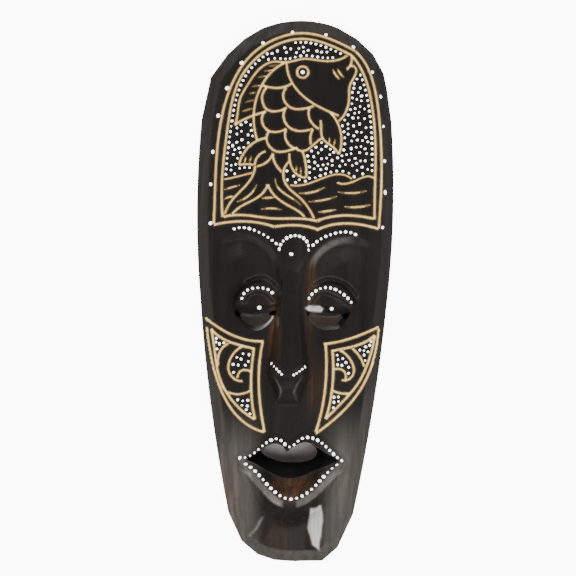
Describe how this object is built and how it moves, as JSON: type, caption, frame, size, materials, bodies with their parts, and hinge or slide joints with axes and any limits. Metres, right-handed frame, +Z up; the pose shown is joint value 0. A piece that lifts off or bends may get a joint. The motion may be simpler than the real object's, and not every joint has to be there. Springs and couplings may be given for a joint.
{
  "type": "carved wooden wall mask",
  "caption": "Long carved wooden wall mask with gouged panels, raised paint dots, cut-through eyes and mouth, and a turning hanger ring.",
  "frame": {"origin": "middle of the mask's flat back plane, at mid height and mid width, where it rests on the wall", "axes": "+Z up to the crown, +X to the viewer's right, the face looks along -Y and the wall is on the +Y side"},
  "size_m": [0.182, 0.058, 0.5],
  "materials": {
    "stained_wood": "satin",
    "white_paint": "gloss",
    "strap_steel": "satin",
    "ring_steel": "satin",
    "nail_steel": "satin"
  },
  "bodies": {
    "mask": {"mask_body": "stained_wood", "hanger_strap": "strap_steel", "hanger_nails": "nail_steel", "border_dots": "white_paint", "panel_dots": "white_paint", "fish_eye_dot": "white_paint", "brow_dots_left": "white_paint", "brow_dots_right": "white_paint", "forehead_arch_dots": "white_paint", "forehead_dot": "white_paint", "eyelid_dots_left": "white_paint", "eyelid_dots_right": "white_paint", "pupil_dots": "white_paint", "cheek_dots_left": "white_paint", "cheek_dots_right": "white_paint", "nostril_dots": "white_paint", "upper_lip_dots": "white_paint", "lower_lip_dots": "white_paint"},
    "ring": {"hanger_ring": "ring_steel"}
  },
  "joints": [
    {"name": "ring_hinge", "type": "hinge", "parent": "mask", "child": "ring", "pos_m": [0, -0.0144, 0.204], "axis": [-1, 0, 0], "range_deg": [0, 180]}
  ]
}
